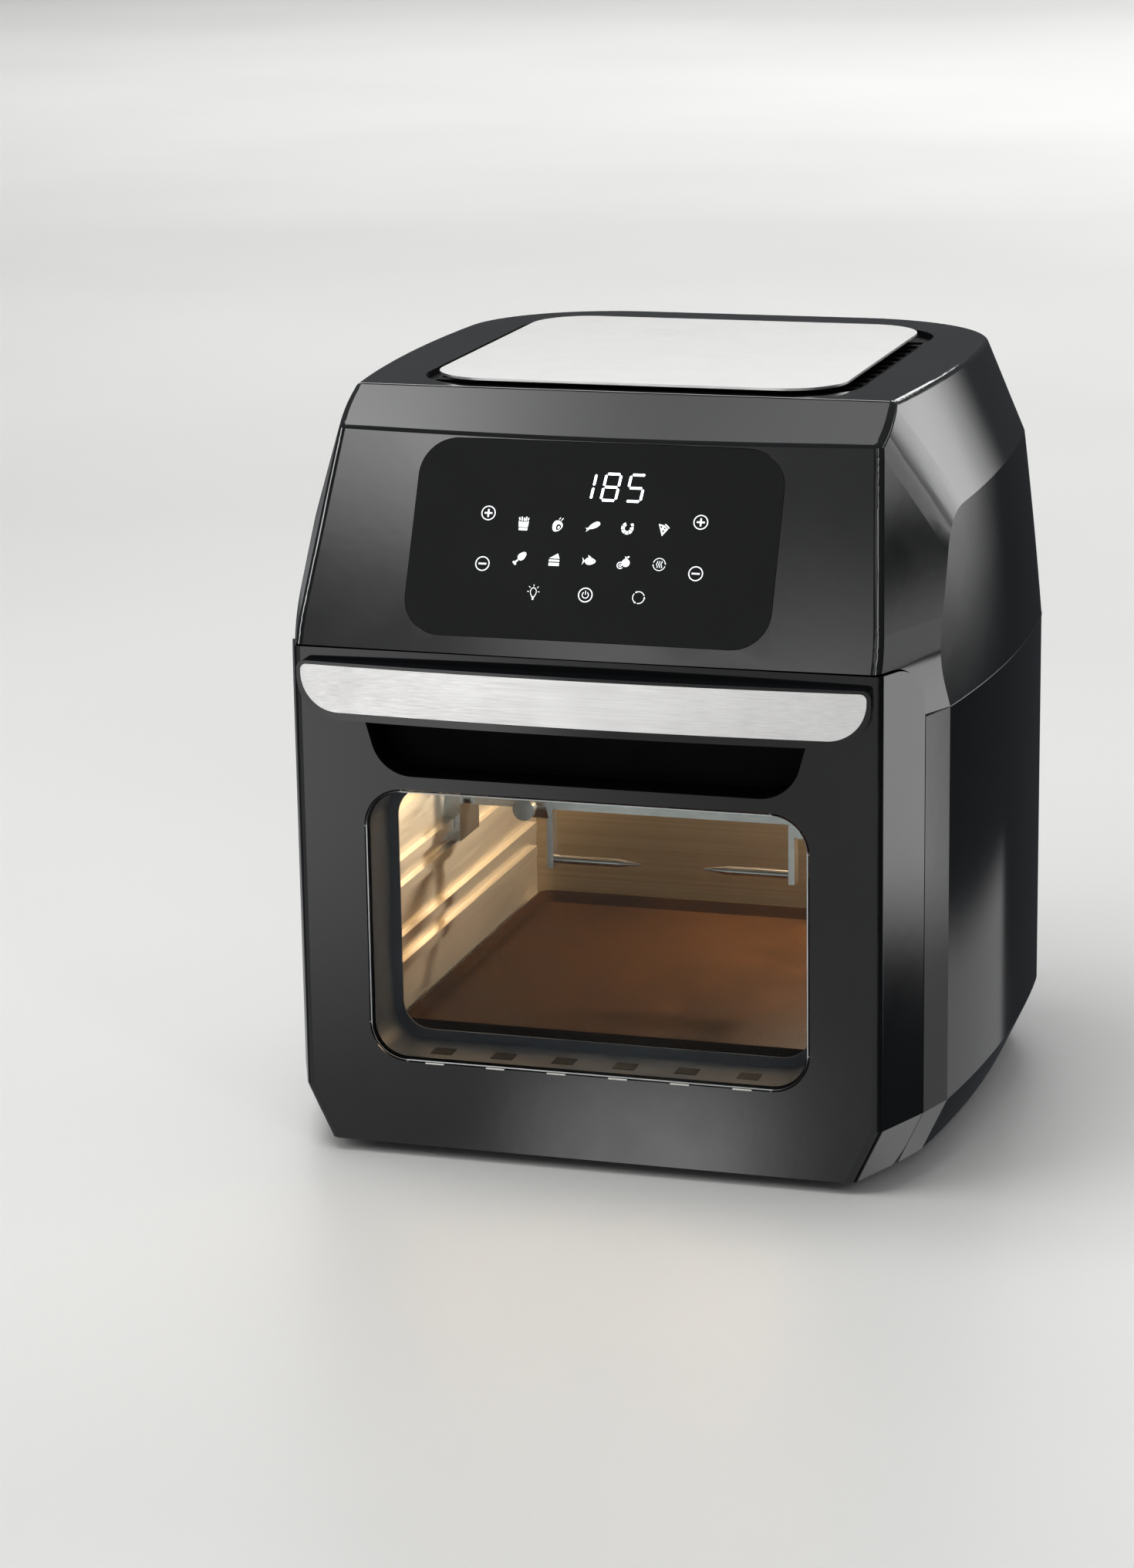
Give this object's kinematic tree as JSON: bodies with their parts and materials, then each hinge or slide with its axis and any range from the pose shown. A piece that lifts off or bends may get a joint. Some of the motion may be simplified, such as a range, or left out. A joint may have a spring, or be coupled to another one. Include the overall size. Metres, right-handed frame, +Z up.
{
  "type": "air fryer oven",
  "caption": "Countertop air fryer oven with a drop-down glass door, bowed steel handle strip, sloping touch panel, rotisserie spit, hot-air fan and vented steel top plate.",
  "frame": {"origin": "centre of the overall outline, on the plane the feet stand on", "axes": "+Z up, -Y out of the door, +X to the right of a person facing the door"},
  "size_m": [0.3356, 0.341, 0.3618],
  "materials": {
    "gloss_black": "moulded, high gloss",
    "satin_black": "moulded, satin",
    "dark_plastic": "moulded, matt",
    "pale_plastic": "moulded, matt",
    "brushed_steel": "brushed along its length",
    "bright_steel": "polished",
    "zinc_steel": "zinc plated",
    "dark_steel": "blackened",
    "cavity_steel": "plain sheet, warm in the lamp light",
    "coated_steel": "dark non-stick coating",
    "aluminium": "stamped",
    "window_glass": "clear, polished",
    "lamp_glass": "clear, polished",
    "touch_glass": "satin printed film under a clear face",
    "display": "dark filter",
    "circuit_board": "coated board",
    "silicone": "soft moulded",
    "rubber": "moulded",
    "pale_ceramic": "glazed",
    "lamp_light": "frosted bulb"
  },
  "bodies": {
    "casing": {"side_panel_right": "gloss_black", "side_panel_left": "gloss_black", "rear_cover": "satin_black", "wall_spacers": "satin_black", "rear_screws": "dark_steel", "upper_housing": "gloss_black", "touch_panel": "touch_glass", "control_board": "circuit_board", "display_module": "display", "top_vent": "satin_black", "top_plate": "brushed_steel", "base_plate": "satin_black", "base_screws": "zinc_steel", "feet": "rubber", "cavity_rails": "zinc_steel", "hinge_brackets": "zinc_steel", "hinge_pins": "bright_steel", "cavity_side_left": "cavity_steel", "cavity_side_right": "cavity_steel", "cavity_floor": "cavity_steel", "cavity_roof": "cavity_steel", "cavity_back": "cavity_steel", "front_frame": "coated_steel", "interlock_switch": "dark_plastic", "catch_magnet": "dark_steel", "motor_bracket": "zinc_steel", "fan_motor": "zinc_steel", "fan_guard": "cavity_steel", "heating_element": "dark_steel", "rotisserie_motor": "dark_plastic", "spit_bracket": "bright_steel", "lamp_cover": "lamp_glass", "lamp_holder": "pale_ceramic", "lamp_bulb": "lamp_light", "temperature_sensor": "bright_steel", "drip_tray": "coated_steel", "power_board": "circuit_board", "cord_gland": "rubber"},
    "door": {"door_shell": "gloss_black", "door_window": "window_glass", "window_tunnel": "dark_plastic", "grip_cup": "gloss_black", "door_inner_frame": "dark_plastic", "door_inner_glass": "window_glass", "catch_plate": "zinc_steel", "door_seal": "silicone", "handle_core": "gloss_black", "handle_strip": "brushed_steel", "handle_screws": "zinc_steel"},
    "fan_train": {"fan_shaft": "bright_steel", "hot_air_fan": "aluminium", "cooling_fan": "dark_plastic"},
    "spit": {"drive_socket": "bright_steel", "spit_shaft": "bright_steel", "spit_forks": "bright_steel", "fork_screws": "bright_steel"},
    "plunger": {"interlock_plunger": "pale_plastic"}
  },
  "joints": [
    {"name": "door_hinge", "type": "hinge", "parent": "casing", "child": "door", "pos_m": [0, -0.1475, 0.018], "axis": [1, 0, 0], "range_deg": [0, 85]},
    {"name": "fan_spin", "type": "hinge", "parent": "casing", "child": "fan_train", "pos_m": [0, 0.0005, 0.25], "axis": [0, 0, 1], "continuous": true},
    {"name": "spit_spin", "type": "hinge", "parent": "casing", "child": "spit", "pos_m": [0, -0.0095, 0.138], "axis": [1, 0, 0], "continuous": true},
    {"name": "plunger_press", "type": "slide", "parent": "casing", "child": "plunger", "axis": [0, 1, 0], "range_m": [0, 0.0025], "stiffness_N_per_m": 400}
  ]
}
